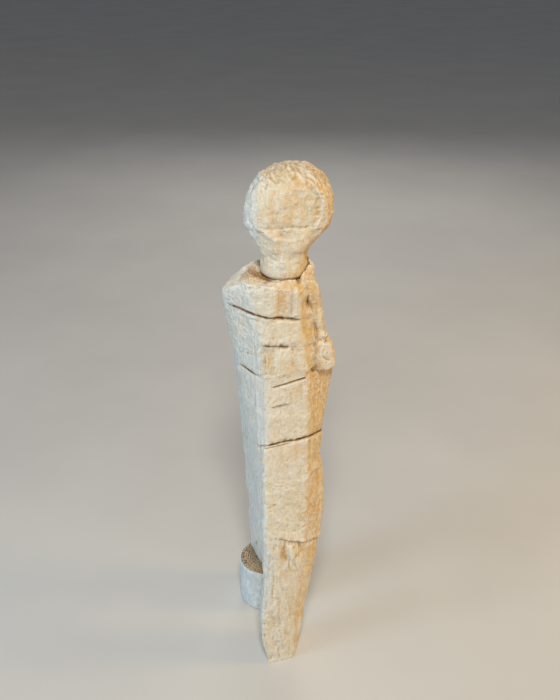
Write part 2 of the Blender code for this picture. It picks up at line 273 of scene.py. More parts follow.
def arm_solid(name, grow):
    rings = []
    for index, (z, inner, outer, front, back) in enumerate(ARM_RINGS):
        top = grow if index == 0 else 0.0
        bottom = grow if index == len(ARM_RINGS) - 1 else 0.0
        corners = [Vector((inner - grow, front - grow)), Vector((outer + grow, front - grow)),
                   Vector((outer + grow, back + grow)), Vector((inner - grow, back + grow))]
        flat = rounded(corners, [2.5, 5.0, 5.0, 2.5], 4)
        rings.append([(p.x, p.y, z + top - bottom) for p in flat])
    return loft(name, list(reversed(rings)))


def ellipse(z, x, half_x, half_y, y=NECK[1], sides=40):
    return [(x + half_x * math.cos(2 * math.pi * i / sides),
             y + half_y * math.sin(2 * math.pi * i / sides), z)
            for i in range(sides)]


# ---------------------------------------------------------------- reading and writing vertices
def get_points(mesh):
    co = np.empty(len(mesh.vertices) * 3)
    mesh.vertices.foreach_get("co", co)
    return co.reshape(-1, 3) / MM


def get_normals(mesh):
    n = np.empty(len(mesh.vertices) * 3)
    mesh.vertices.foreach_get("normal", n)
    return n.reshape(-1, 3)


def set_points(mesh, p):
    mesh.vertices.foreach_set("co", (p * MM).ravel())
    mesh.update()


def edge_pairs(mesh):
    e = np.empty(len(mesh.edges) * 2, np.int64)
    mesh.edges.foreach_get("vertices", e)
    return e.reshape(-1, 2)


def spread(values, pairs, rounds, count):
    """Average each value with its neighbours."""
    degree = np.bincount(pairs.ravel(), minlength=count) + 1e-9
    for _ in range(rounds):
        if values.ndim == 1:
            near = np.bincount(pairs[:, 0], values[pairs[:, 1]], count)
            near += np.bincount(pairs[:, 1], values[pairs[:, 0]], count)
            values = 0.5 * values + 0.5 * near / degree
        else:
            values = np.stack([spread(values[:, k], pairs, 1, count) for k in range(values.shape[1])], 1)
    return values


def store(mesh, name, values):
    layer = mesh.attributes.get(name) or mesh.attributes.new(name, "FLOAT", "POINT")
    layer.data.foreach_set("value", np.asarray(values, np.float32))


def hollows(mesh, rounds):
    """How far each point lies below its smoothed surroundings, in millimetres."""
    p = get_points(mesh)
    pairs = edge_pairs(mesh)
    smooth = spread(p, pairs, rounds, len(p))
    return ((smooth - p) * get_normals(mesh)).sum(1)


# ---------------------------------------------------------------- relief
def facets(x, table):
    """Straight knife-cut planes: depth against position."""
    return np.interp(x, [row[0] for row in table], [row[1] for row in table])


def turned(p, seed):
    """The same points turned about an odd axis, so that no two layers of noise line up."""
    a, b = 0.7 + 1.3 * seed, 0.5 + 0.9 * seed
    x = p[:, 0] * math.cos(a) - p[:, 1] * math.sin(a)
    y = p[:, 0] * math.sin(a) + p[:, 1] * math.cos(a)
    return np.stack([x * math.cos(b) - p[:, 2] * math.sin(b), y, x * math.sin(b) + p[:, 2] * math.cos(b)], 1)


def spun(p, seed):
    """The same points turned about the upright axis and sheared a little."""
    a = 0.4 + 0.8 * seed
    x = p[:, 0] * math.cos(a) - p[:, 1] * math.sin(a)
    y = p[:, 0] * math.sin(a) + p[:, 1] * math.cos(a)
    return np.stack([x, y, p[:, 2] + 0.45 * x - 0.3 * y], 1)


def gesso(p, amount=1.0, rough=1.0, seed=0):
    """Crumpled hand-laid filler and brush marks, in millimetres; rough scales the finest marks."""
    warp = p + 2.4 * np.stack([noise(turned(p, 1), 9, seed + 1), noise(turned(p, 2), 9, seed + 2),
                               noise(turned(p, 3), 8, seed + 3)], 1)
    tall = warp * (1, 1, 0.65)
    lumps = 0.55 * noise(turned(tall, 1), 17, seed + 4)
    pillows = 1.10 * (np.abs(noise(turned(tall, 2), 10, seed + 5)) - 0.28)
    creases = -0.75 * (np.abs(noise(turned(tall, 3), 5.6, seed + 6)) - 0.28)
    small = 0.30 * (np.abs(noise(turned(tall, 4), 3.1, seed + 7)) - 0.28)
    ripples = 0.62 * (np.abs(noise(spun(warp, 1), (6.5, 6.5, 2.3), seed + 10)) - 0.28)
    wrinkles = 0.40 * (np.abs(noise(turned(tall, 5), 2.4, seed + 8)) - 0.28)
    strokes = 0.34 * noise(spun(warp, 2), (1.9, 1.9, 12), seed + 9)
    return amount * (lumps + pillows + creases + small) + rough * (ripples + wrinkles + strokes)


def cut_height(k, p):
    height, slope_x, slope_y = CUTS[k]
    return height + slope_x * (p[:, 0] - CUT_LINE[0]) + slope_y * (p[:, 1] - CUT_LINE[1])


def opening(k, p):
    """How wide each saw cut stands open, in millimetres, along its length."""
    x, y = p[:, 0], p[:, 1]
    front = step(-y, 30, 45)
    seam = 0.03 * front + 0.15 * step(y, -26, -16)
    if k == 0:
        wide = step(x, -40, -30) * (1 - step(x, 7, 12))
        return seam + 1.15 * front * wide * (0.85 + 0.5 * noise(p, 8, 71))
    if k == 1:
        return (seam + 0.95 * front * step(x, -18, -14) * (1 - step(x, -0.5, 3))
                * (0.9 + 0.8 * noise(p, 3, 72)))
    if k == 2:
        return seam + 0.9 * step(-x, 19.5, 22) * (1 - step(-x, 26.5, 29)) * step(-y, 33, 38)
    if k == 3:
        return seam + 0.60 * front * step(x, -12, -8) * (1 - step(x, 0, 3))
    return seam + 1.30 * step(x, -21, -15) * step(-y, 46, 52) * (0.8 + 0.7 * noise(p, 4, 74))


def body_relief(p, n):
    """Carved and worn shapes of the torso and legs, in millimetres outwards."""
    x, y, z = p[:, 0], p[:, 1], p[:, 2]
    front = step(-n[:, 1], 0.35, 0.8)
    left = step(-n[:, 0], 0.35, 0.8)
    right = step(x, 12, 20)
    upper = step(z, 236, 250)
    low = 1 - step(z, 118, 140)
    rough = 0.38 + 0.34 * right + 0.24 * low + 0.20 * left + 0.3 * step(z, 338, 344)
    d = gesso(p, 0.58 + 0.50 * right * upper - 0.12 * left, rough + 0.25 * right * upper)
    # long thin ridges on the shin and thigh, level ones above the knee, steeper ones below it
    d += low * front * 0.85 * noise(spun(p + 1.6 * noise(p, 8, 64)[:, None], 3), (2.4, 2.4, 24), 65)
    level = np.abs(noise(turned(p + 2.0 * noise(p, 11, 66)[:, None], 0.3), (12, 12, 3.2), 67)) - 0.28
    d += front * 0.60 * level * bell(z - 158, 34)
    # knife-cut upright planes on each block's front
    top = step(z, 316, 322) * (1 - step(z, 339, 346)) * step(-n[:, 1], 0.2, 0.6)
    d += top * facets(x, [(-32, 0), (-20, 0.9), (-17.5, 0.3), (-9, 0.9), (-6, -0.7), (4, -0.8), (7, 0.6),
                          (13, -0.2)])
    chest = step(z, 296, 300) * (1 - step(z, 314, 319)) * front
    d += chest * facets(x, [(-19, 0.5), (-14, 0.0), (-7, -0.2), (-2, 0.4), (9, 0.6), (13, -0.7), (17, -0.2)])
    ribs = step(z, 271, 274) * (1 - step(z, 292, 297)) * front
    d += ribs * facets(x, [(-18, 0.9), (-15, -0.9), (-9, -0.8), (-6, 0.5), (2, 0.6), (5, -0.5), (12, 0.3)])
    belly = step(z, 246, 250) * (1 - step(z, 264, 270)) * front
    d += belly * facets(x, [(-18, 0.5), (-9, -0.3), (3, 0.4), (12, -0.4), (16, 0.3)])
    # each block's front stands a little proud of the one below
    d += front * (0.5 * bell(z - 300, 5) - 0.45 * bell(z - 291, 4)
                  + 0.4 * bell(z - 276, 4) - 0.4 * bell(z - 243, 4))
    # side planes of the left flank
    d += left * facets(z, [(0, 0), (90, 0.4), (112, -1.0), (128, 0.6), (150, -0.3), (240, 0.3), (262, -0.4),
                           (290, 0.3),
                           (312, -0.4), (335, 0.2)])
    # long soft hollows above the waist and on the thigh
    d += front * (-1.3 * spot(p, (11, -67, 184), (3.2, 9, 10)) - 1.0 * spot(p, (3, -67, 150), (8, 9, 14)))
    d += (-1.6 * spot(p, (34, -52, 190), (8, 9, 6))
          + 1.1 * line(p, [(32, -54, 182), (21, -63, 184), (13, -68, 178)], 2.6))
    d += 0.9 * spot(p, (20, -63, 236), (5, 6, 18)) - 1.1 * spot(p, (26, -57, 252), (4, 6, 16))
    # knee: a ledge, a nose-like rib between two hollows, and small nicks
    ledge = 130 - 0.42 * (x + 12) - z
    across = step(x, -12, 0) * step(-y, 28, 52)
    d += across * (-1.9 * step(ledge, -0.6, 0.9) * np.exp(-np.clip(ledge, 0, 50) / 7.0)
                   + 0.9 * bell(ledge + 2.5, 2.5))
    d += 2.3 * line(p, [(1.0, -73, 118), (2.2, -74, 113), (3.2, -74.5, 108)], 2.6)
    d += -1.5 * line(p, [(-4.0, -73, 117), (-5.2, -73, 111), (-2.2, -73.5, 106)], 3.0)
    d += -1.6 * line(p, [(9.5, -72.5, 117), (11.5, -72, 110), (7.5, -73, 107.5)], 3.0)
    for height in (98.5, 93.5):
        d += -0.45 * line(p, [(12.5, -72, height), (17, -69.5, height - 4), (22, -66, height - 6.5)], 1.1)
    # shin: rounded down the middle
    shin = 1 - step(z, 88, 104)
    d += shin * front * (0.9 * bell(x + 6 + 0.04 * z, 6) - 0.5)
    # scratches and cracks
    bent = p + 1.3 * np.stack([noise(p, 7, 61), noise(p, 7, 62), noise(p, 7, 63)], 1)
    d += -0.55 * line(bent, [(3.7, -71.8, 132), (11, -71.3, 134.5), (19.5, -67.3, 135)], 1.1)
    d += -0.30 * line(bent, [(-17, -67.6, 180), (-11, -68, 175), (-5.5, -68.5, 168), (-10, -69, 162),
                             (-15, -69.4, 157)], 1.2)
    d += -0.30 * line(bent, [(1.5, -68.4, 170), (-3, -69, 164), (-1, -69.5, 158), (-9, -70, 151)], 1.2)
    d += -0.30 * line(bent, [(-9, -67.2, 184), (1.8, -67.4, 182)], 1.0)
    d += -1.9 * line(p, BELLY_CRACK, 0.8)
    # worm holes and chips on the left side
    for centre, radius, depth in [((-17.3, -31.6, 115.8), 1.3, 2.0), ((-19.3, -57.5, 209.5), 1.3, 2.0),
                                  ((-15.8, -64, 331.3), 0.8, 1.0), ((-12.5, 14, 98), 3.5, 1.1),
                                  ((-15.5, 10, 122), 3.5, 0.9)]:
        d += -depth * bell(np.sqrt(((p - np.array(centre)) ** 2).sum(1)), radius)
    d += 1.0 * spot(p, (-13.5, 12, 110), (6, 8, 5)) + 0.6 * spot(p, (-10, 19, 84), (6, 8, 6))
    # groove and pits beside the arm, and the groove under the fist
    d += 3.4 * line(p, [(19, -56.5, 318), (21.5, -55, 305), (23, -54, 292), (22.5, -55, 278)], 4.6)
    d += 1.6 * line(p, [(14, -59, 342), (16, -58.5, 332)], 3.5)
    d += -0.7 * line(bent, [(11, -58, 343), (12, -61, 335), (16.5, -58.5, 327)], 1.8)
    d += -2.9 * spot(p, (18.4, -58, 323.6), (2.0, 3, 3.0)) - 1.3 * spot(p, (11, -57.5, 342.6), (1.6, 3, 1.6))
    d += -1.9 * line(p, [(22.5, -59.5, 271), (30, -59, 269.5), (39, -50, 266)], 2.1)
    # scooped corner and ragged rim of the shoulder hollow
    rim = step(z, 337, 343)
    d += -2.6 * spot(p, (-14, -53, 347), (9, 6, 5)) - 2.4 * spot(p, (-25, -47, 347), (8, 7, 5))
    d += rim * (0.8 * noise(p, (5, 5, 5), 31) + 0.25 * noise(p, (2.2, 2.2, 2.2), 32))
    # closed and open saw cuts: softened lips
    for k in range(len(CUTS)):
        gap = z - cut_height(k, p)
        wide = opening(k, p)
        d += -(0.05 + 0.75 * wide) * bell(gap, 0.8 + 0.7 * wide)
    # ledge of the lowest cut, worn back below the line
    gap = cut_height(4, p) - z
    d += -0.9 * front * step(gap, -0.4, 0.6) * np.exp(-np.clip(gap, 0, 40) / 2.6)
    d += -0.9 * front * bell(gap - 2.6 - 0.8 * noise(p, (6, 6, 6), 75), 0.7) * (1 - step(x, -2, 8))
    # the sharp left front corner is chipped here and there
    corner = bell(x - np.interp(z, STATIONS, LEFT_FRONT_X), 2.2) * step(-y, 55, 60)
    d += -0.9 * corner * np.abs(noise(p, (6, 6, 7), 76)) - 0.3 * corner
    return d


def stain_and_painted_light(p, n):
    """How much yellow goes on, from 0 to 1: partly yellowed paint, partly painted warm light on the sides
    facing right and forward, and painted shade in the grooves and hollows.
    """
    x, y, z = p[:, 0], p[:, 1], p[:, 2]
    patches = step(noise(p, (9, 9, 15), 81), 0.05, 0.75)
    fore = 0.30 + 0.70 * step(-y, 22, 50)
    # random yellowed patches, and painted warm light: yellow on the sides that face right
    s = 0.25 * patches + 0.45 * step(x, 12, 26) * step(n[:, 0], -0.1, 0.6) * fore
    s += (0.55 + 0.7 * noise(turned(p, 3), (7, 7, 16), 84)) * step(n[:, 0], 0.15, 0.70) * fore
    # a browner band round the crown
    s += 0.9 * step(z + 0.25 * (x - 8), 405, 413) * (0.6 + 0.9 * noise(turned(p, 4), 5, 85))
    # painted warm light: yellow on the head's faces that face forward
    s += (0.28 + 0.17 * step(z, 384, 390)) * step(z, 357, 363) * step(-n[:, 1], 0.5, 0.9)
    # yellow along the grooves beside the arm and round the shoulder rim and neck foot: partly yellowed paint,
    # partly painted shade
    s += 0.9 * line(p, [(11, -58, 345), (13, -60, 335), (17, -58, 326), (20, -57, 318), (23, -58, 300),
                        (23, -59, 284),
                        (23, -59, 271)], 3.6)
    s += 0.6 * line(p, [(-20, -46, 344), (-4, -57, 345), (12, -55, 348), (22, -46, 350)], 3.0)
    s += 1.0 * line(p, [(24, -38, 350), (23, -48, 350), (18, -55, 346), (15, -58, 338), (19, -58, 326)], 4.2)
    s += 0.9 * line(p, [(19, -59, 326), (21, -58, 312), (22, -58, 296), (22, -59, 280), (26, -58, 268)], 3.4)
    # yellow spots, mostly in hollows, grooves and under the fist: partly yellowed paint, partly painted shade
    for centre, size, amount in [((-2, -64, 331), (6.5, 6, 11), 0.6), ((21, -50, 354), (6, 8, 11), 0.8),
                                 ((21, -50, 346), (9, 11, 9), 0.9), ((23, -58, 335), (5, 6, 12), 0.6),
                                 ((31, -58, 262), (9, 9, 10), 0.6), ((-13, -64, 283), (4.5, 6, 11), 1.0),
                                 ((16, -62, 330), (6, 6, 14), 0.7), ((18, -60, 300), (7, 6, 16), 0.7),
                                 ((6, -64, 277), (9, 6, 4), 0.5), ((8, -60, 343), (12, 6, 4), 0.6),
                                 ((24, -58, 262), (9, 8, 12), 0.6), ((26, -56, 235), (8, 8, 14), 0.4),
                                 ((24, -59, 268), (9, 8, 5), 0.6), ((3, -65, 256), (12, 8, 6), 0.3),
                                 ((10, -66, 206), (14, 8, 5), 0.5), ((-5, -73, 112), (4, 5, 8), 0.9),
                                 ((10, -72, 112), (5, 5, 8), 0.8), ((3, -76, 60), (5, 8, 30), 0.35),
                                 ((22, -58, 240), (8, 8, 20), 0.4), ((12, -68, 150), (8, 9, 20), 0.35)]:
        s += amount * spot(p, centre, size)
    return np.clip(s, 0, 1)


def head_frame(p):
    """Points in the head's own turned axes: across, back and up."""
    x, y = p[:, 0] - 8.0, p[:, 1] - HEAD_Y
    u = x * math.cos(HEAD_TURN) + y * math.sin(HEAD_TURN)
    v = -x * math.sin(HEAD_TURN) + y * math.cos(HEAD_TURN)
    return np.stack([u, v, p[:, 2]], 1)


def crown_folds(local):
    return np.abs(noise(turned(local, 0.2), (10, 4, 4), 142)) - 0.28


def dirt_and_shade(p):
    """Dark brown in the cuts, cracks, pits and creases, from 0 to 1: partly dirt, partly painted shade."""
    x, z = p[:, 0], p[:, 2]
    uneven = 0.75 + 0.6 * noise(turned(p, 2), 2.2, 95)
    local = head_frame(p)
    rim = np.hypot(local[:, 0], (z - 395) * 1.02)
    crease = step(-crown_folds(local), 0.10, 0.26)
    top_rim = step(z, 401, 408) * step(rim, 17, 20) + 0.5 * step(local[:, 0], 20, 25) * step(z, 376, 384)
    s = 0.85 * line(p, BELLY_CRACK, 0.75) + 0.34 * crease * np.clip(top_rim, 0, 1)
    for k in range(len(CUTS)):
        gap = z - cut_height(k, p)
        s += np.clip(opening(k, p), 0, 1) * bell(gap, 0.8)
    s += (0.6 * bell(z - cut_height(4, p) + 2.7 + 0.6 * noise(p, 5, 96), 0.6)
          * step(x, -19, -15) * (1 - step(x, 0, 6)))
    s += 0.9 * line(p, [(22.4, -59, 309), (23.6, -59.5, 303), (24.0, -59.5, 298)], 0.9)
    s += 1.0 * line(p, [(30.5, -60, 293.6), (33, -60, 295.2), (35, -59, 297.2)], 1.0)
    s += 0.6 * line(p, [(13, -57.5, 344), (14.5, -59, 338), (17, -58, 330)], 1.0)
    s += (0.4 * line(p, [(18.2, -58, 326.5), (18.6, -58, 321.5)], 1.5)
          + 0.8 * spot(p, (22.5, -58, 270.2), (2.2, 3, 1.5)))
    s += (0.6 * line(p, [(25, -60, 271.2), (36, -59, 271)], 0.7)
          + 0.8 * spot(p, (11, -57.5, 343), (1.6, 3, 1.5)))
    s += 0.5 * line(p, [(7, -63.4, 333), (9.5, -63, 335.5), (12, -62, 336.5)], 0.6)
    s += 0.45 * line(p, [(-11, -71.6, 129), (-2, -72, 125), (12.5, -71.4, 121)], 0.7)
    for centre, radius in [((-17.3, -31.6, 115.8), 2.2), ((-19.3, -57.5, 209.5), 1.4),
                           ((-15.8, -64, 331.3), 0.7), ((-24.5, -48.5, 287.5), 0.7),
                           ((-12, -55.5, 345), 2.0), ((-13, -47, 342), 3.0)]:
        s += bell(np.sqrt(((p - np.array(centre)) ** 2).sum(1)), radius)
    return np.clip(s * uneven, 0, 1)


def cool_side(p, n):
    """Cool grey on the figure's right side, running round the corner above the shin: partly grey paint,
    partly painted cool light on the sides turned towards -x.
    """
    corner = 0.85 * spot(p, (-18, -73, 106), (5.5, 9, 22)) + 0.5 * spot(p, (-20, -75, 78), (4, 9, 20))
    return np.clip(step(-n[:, 0], 0.30, 0.80) + corner * (0.9 + 0.6 * noise(turned(p, 1), (4, 4, 12), 146)),
                   0, 1)


def cool_head(p, n):
    """The head's cool grey left rim, up to the edge of the face: painted cool light on the side turned
    towards -x.
    """
    u = head_frame(p)[:, 0]
    edge = -19.5 + 0.10 * np.abs(p[:, 2] - 392) + 1.5 * noise(p, (8, 8, 8), 145)
    return step(edge - u, 0.0, 1.8) * step(-n[:, 0], -0.25, 0.1) * step(p[:, 2], 366, 376)


def add_relief(item, relief, cool=cool_side, limit=3.4):
    mesh = item.data
    p = get_points(mesh)
    n = get_normals(mesh)
    # the stored tint masks carry painted light and shade as well as stains, grey paint and dirt
    store(mesh, "stain_and_light", stain_and_painted_light(p, n))
    store(mesh, "cool", cool(p, n))
    store(mesh, "dirt_and_shade", dirt_and_shade(p))
    set_points(mesh, p + n * np.clip(relief(p, n), -limit, limit)[:, None])


# ---------------------------------------------------------------- body pieces
def bare_wood(p):
    """1 where the wood was never painted: inside the shoulder hollow."""
    x, y, z = p[:, 0], p[:, 1], p[:, 2]
    t = np.clip((z - 342.0) / 9.0, 0, 1)
    centre = 5.2 - 8.8 * t
    half_x = 17.6 + 9.4 * t
    half_y = 17.6 + 0.6 * t
    inside = ((x - centre) / (half_x + 0.9)) ** 2 + ((y - NECK[1]) / (half_y + 0.9)) ** 2
    ragged = 0.09 * noise(p, (3, 3, 3), 41) + 0.05 * noise(p, (1.2, 1.2, 1.2), 42)
    left = 1 - step(x + 1.2 * noise(p, (4, 4, 4), 43), -8, -4)
    fore = step(-y + 3.0 * noise(p, (4, 4, 4), 46), 28, 37)
    wear_and_highlight = (spot(p, (-19, -41, 343), (10, 7, 8))
            * (1 + 0.7 * noise(turned(p, 1), 3, 44) + 0.4 * noise(p, 1.3, 45)))
    bowl = step(-(inside + ragged), -1.12, -0.98) * step(z, 335, 339) * (0.25 + 0.75 * fore)
    return np.clip(np.maximum(bowl, step(wear_and_highlight, 0.25, 0.8) * 0.7) * left, 0, 1)


def collar(p):
    """Extra height of the rim that laps up round the neck's right front."""
    x, y = p[:, 0] - NECK[0], p[:, 1] - NECK[1]
    radius = np.hypot(x, y)
    angle = np.degrees(np.arctan2(y, x))
    side = step(angle, -88, -45) * (1 - step(angle, 15, 60))
    near = step(radius, SEAT_R - 0.45, SEAT_R - 0.05) * np.where(radius < 18.2, 1.0, bell(radius - 18.2, 4.2))
    return (4.6 + 0.8 * noise(p, 5, 91)) * side * near * step(p[:, 2], 334, 344)


def clear_seat(p):
    """Keep the round seat free for the neck's foot: a flat floor and a wall of its own radius."""
    x, y = p[:, 0] - NECK[0], p[:, 1] - NECK[1]
    radius = np.hypot(x, y) + 1e-6
    high = p[:, 2] > 338
    ring = high & (radius >= SEAT_R - SEAT_RING) & (radius < SEAT_R)
    scale = np.where(ring, SEAT_R / radius, 1.0)
    floor = np.where(high & (radius < SEAT_R - SEAT_RING), np.minimum(p[:, 2], SEAT_FLOOR), p[:, 2])
    return np.stack([NECK[0] + x * scale, NECK[1] + y * scale, floor], 1)


def wobble(p):
    return 0.45 * noise(p, (7, 7, 40), 51) + 0.22 * noise(p, (2.6, 2.6, 40), 52)


def make_body():
    heights = np.arange(0, STATIONS[-1] + 0.1, 3.0)
    body = loft("body", [body_ring(float(z)) for z in heights])
    for point, normal in SHOULDER_PLANES:
        slice_object(body, point, normal)
    cut(body, loft("arch", [[(x, y, z) for y, z in ARCH] for x in (-70, 70)]))
    cut(body, loft("ankle", [[(x, y, z) for x, y in ring] for z, ring in ANKLE]))
    cut(body, loft("bowl", [ellipse(z, x, hx, hy) for z, x, hx, hy in HOLLOW]))
    cut(body, arm_solid("recess", 0.4))
    remesh(body, VOXEL)
    add_relief(body, lambda p, n: body_relief(p, n) * (0.15 + 0.85 * step(p[:, 2], 0.2, 4.0)))
    p = get_points(body.data)
    p[:, 2] += collar(p)
    # the front leg is cut in on its left, below the top of the arch
    x, y, z = p.T
    reach = step(-x, 6, 15) * step(y, -75, -62) * (1 - step(y, -52, -46)) * bell(z - 78, 20)
    # and the rear leg's front is chamfered
    chamfer = np.clip((x + 14) / 6, 0, 1) * step(y, -48, -40) * (1 - step(y, -8, 0)) * bell(z - 80, 20)
    chamfer *= 1 - step(x, 4, 12)
    drop = (step(-x, 4, 10) * step(y, -60, -52) * (1 - step(y, -40, -32))
            * step(z, 94, 104) * (1 - step(z, 108, 120)))
    p = p + np.stack([3.0 * reach, -5.0 * chamfer, -5.0 * drop], 1)
    p = clear_seat(p)
    p[:, 2] = np.maximum(p[:, 2], 0.0)
    set_points(body.data, p)
    n = get_normals(body.data)
    arch = step(p[:, 1], -62, -55) * (1 - step(p[:, 2], 110, 116)) * (1 - step(np.abs(n[:, 0]), 0.5, 0.8))
    shin = (1 - step(p[:, 2], 100, 124)) * step(-n[:, 1], 0.35, 0.8)
    store(body.data, "cavity", hollows(body.data, 10) * (1 - arch) * (1 - 0.45 * shin))
    store(body.data, "wide_cavity", hollows(body.data, 60) * (1 - arch))
    store(body.data, "bare", bare_wood(get_points(body.data)))
    return body


def split_body(body):
    """Saw the body into its blocks along slightly wavy cuts, each block its own closed piece."""
    p = get_points(body.data)
    p[:, 2] -= wobble(p)
    set_points(body.data, p)
    source = bmesh.new()
    source.from_mesh(body.data)
    pieces = []
    for index, name in enumerate(BLOCKS):
        bm = source.copy()
        caps = []
        for k, below in ((index - 1, True), (index, False)):
            if 0 <= k < len(CUTS):
                height, slope_x, slope_y = CUTS[k]
                caps += slice_off(bm, (CUT_LINE[0], CUT_LINE[1], height), (-slope_x, -slope_y, 1.0), below)
        for face in caps:
            if face.is_valid:
                face.material_index = 1
        bmesh.ops.triangulate(bm, faces=[f for f in bm.faces if len(f.verts) > 4])
        bmesh.ops.recalc_face_normals(bm, faces=bm.faces)
        mesh = bpy.data.meshes.new(name + "_look")
        bm.to_mesh(mesh)
        bm.free()
        q = get_points(mesh)
        for k, sign in ((index - 1, -1.0), (index, 1.0)):
            if 0 <= k < len(CUTS):
                gap = np.abs(q[:, 2] - cut_height(k, q))
                q[:, 2] += sign * 0.5 * opening(k, q) * np.clip(1 - gap / 3.0, 0, 1)
        q[:, 2] += wobble(q)
        if name == "leg_block":
            q[:, 2] = np.maximum(q[:, 2], 0.0)
        set_points(mesh, q)
        mesh.shade_smooth()
        piece = bpy.data.objects.new(name + "_look", mesh)
        bpy.context.scene.collection.objects.link(piece)
        pieces.append((piece, name))
    source.free()
    bpy.data.objects.remove(body, do_unlink=True)
    return pieces


# ---------------------------------------------------------------- head
def head_ring(z, centre_x, half_width, front, back):
    mix = min(1.0, max(0.0, (z - 352.0) / 22.0))
    centre_y = NECK[1] + (HEAD_Y - NECK[1]) * mix
    ring = []
    for i in range(64):
        a = 2 * math.pi * i / 64
        across = half_width * math.cos(a)
        power = 1.0 - (0.40 if math.sin(a) < 0 else 0.22) * mix
        reach = front if math.sin(a) < 0 else back
        along = math.copysign(abs(math.sin(a)) ** power, math.sin(a)) * reach
        ring.append((centre_x + across * math.cos(HEAD_TURN) - along * math.sin(HEAD_TURN),
                     centre_y + across * math.sin(HEAD_TURN) + along * math.cos(HEAD_TURN), z))
    return ring


def flatten_face(p):
    """Plane the ball off to a flat face, with a soft edge."""
    x, y = p[:, 0] - 8.0, p[:, 1] - HEAD_Y
    out = x * math.sin(FACE_TURN) - y * math.cos(FACE_TURN)
    reach = 19.9 + 0.05 * (p[:, 2] - 395) + 0.35 * noise(p, 8, 171)
    over = out - reach
    push = -0.5 * (over + np.sqrt(over * over + 0.5)) * step(p[:, 2], 364, 372)
    moved = p.copy()
    moved[:, 0] += push * math.sin(FACE_TURN)
    moved[:, 1] -= push * math.cos(FACE_TURN)
    return moved


def head_relief(p, n):
    local = head_frame(p)
    u, v, z = local.T
    seat = step(z, 350, 355)
    face = step(-v, 8, 14)
    radius = np.sqrt(u ** 2 + ((z - 395) * 1.02) ** 2)
    edge = np.clip(step(radius, 18, 21) * step(z, 384, 400) + step(u, 14, 20), 0, 1)
    d = (gesso(local, 0.72 - 0.12 * face * (1 - edge), 0.38 - 0.20 * face + 0.42 * edge, 100)
         * (0.12 + 0.88 * seat))
    disc = radius / 23.0
    # flat face with soft upright folds inside a rounded rim
    sway = 1.6 * noise(local, (15, 15, 15), 141)
    d += face * seat * (0.8 * bell(radius + sway - 23.5, 2.2) - 0.4 * bell(radius + sway - 19.8, 2.6))
    folds = facets(u + 0.6 * sway, [(-23, 0), (-18, 0.5), (-13, 0.3), (-9, -0.5), (-5, 0.3), (0, 0.4),
                                    (5, 0.1),
                                    (10, 0.0), (13.2, -0.2), (17, 0.2), (20, 0)])
    d += face * (1 - step(disc, 0.80, 1.0)) * 1.5 * folds * step(z, 382, 388)
    # crease under the face and a narrower lower face cut in planes
    d += face * (-0.55 * bell(z - 381.6 - 0.9 * noise(local, (6, 6, 6), 131), 1.0)
                 * (1 - step(np.abs(u), 17, 21)))
    jaw = step(z, 361, 365) * (1 - step(z, 378, 381.5)) * step(-v, 4, 12)
    d += jaw * facets(u, [(-17, -0.9), (-8, 0.9), (-5.5, -0.5), (-1, -0.7), (4, 0.0), (9.7, 0.8), (17, -1.1)])
    d += face * (-0.3 * bell(z - 362, 1.8))
    # wrinkles that follow the ball's edge
    corner = (step(u + (z - 395), 4, 16) * step(radius, 20, 23)
              * step(noise(local, (10, 10, 10), 143), -0.5, 0.4))
    d += (seat * corner * 0.30 * np.sin((radius + sway) * 2 * math.pi / 3.2)
          * (0.7 + 0.8 * noise(local, 7, 144)))
    crown = step(z, 400, 408) * step(radius, 17, 20)
    d += crown * 1.1 * crown_folds(local)
    # lumpy neck foot with knife-cut flats
    foot = (1 - step(z, 358, 363)) * seat
    angle = np.arctan2(p[:, 1] - NECK[1], p[:, 0] - NECK[0])
    d += foot * (-0.7 * np.abs(np.sin(angle * 3.5 + 0.4)) + 0.5 * noise(p, (5, 5, 4), 151))
    return d * (0.2 + 0.8 * step(z, 343.5, 346.5)) - 0.35 * (1 - seat)


def make_head():
    head = loft("head_look", [head_ring(*row) for row in HEAD_RINGS])
    remesh(head, VOXEL)
    p = get_points(head.data)
    pairs = edge_pairs(head.data)
    set_points(head.data, flatten_face(spread(p, pairs, 4, len(p))))
    add_relief(head, head_relief, cool_head)
    p = get_points(head.data)
    x, y = p[:, 0] - NECK[0], p[:, 1] - NECK[1]
    radius = np.hypot(x, y) + 1e-6
    scale = 1 - (1 - np.minimum(1.0, FOOT_R / radius)) * (1 - step(p[:, 2], 352, 358))
    p = np.stack([NECK[0] + x * scale, NECK[1] + y * scale, np.maximum(p[:, 2], FOOT_BOTTOM)], 1)
    set_points(head.data, p)
    store(head.data, "cavity", hollows(head.data, 10))
    store(head.data, "wide_cavity", hollows(head.data, 60))
    p = get_points(head.data)
    # the crown is tinted partly towards bare wood colour
    crown = np.clip((p[:, 2] - 411) / 8, 0, 1) * step(p[:, 1], -52, -40)
    store(head.data, "bare", 0.35 * crown * (0.6 + 0.6 * noise(p, 3, 161)))
    head.data.shade_smooth()
    return head


# ---------------------------------------------------------------- arm
def arm_relief(p, n):
    x, z = p[:, 0], p[:, 2]
    d = gesso(p, 0.5, 0.6, 200)
    d += -2.8 * spot(p, (33.5, -59, 295.0), (3.6, 4, 2.0)) - 1.3 * spot(p, (27, -60, 295), (5, 3, 1.6))
    d += -1.2 * line(p, [(22.6, -59.5, 308), (24.4, -60, 298)], 1.2)
    d += 0.9 * spot(p, (31, -60.5, 284), (6, 5, 7)) - 0.8 * line(p, [(29, -61, 281), (33, -61, 279)], 1.3)
    d += (0.5 * (np.abs(noise(spun(p, 2), (4, 4, 14), 210)) - 0.28)
          + 0.8 * bell(z - 312, 6) * bell(x - 25, 3)
          - 1.4 * spot(p, (19.5, -59, 322.5), (2.4, 3, 3.2)))
    d += -0.9 * bell(z - 303, 2.5) + 0.7 * bell(z - 334, 4)
    return d


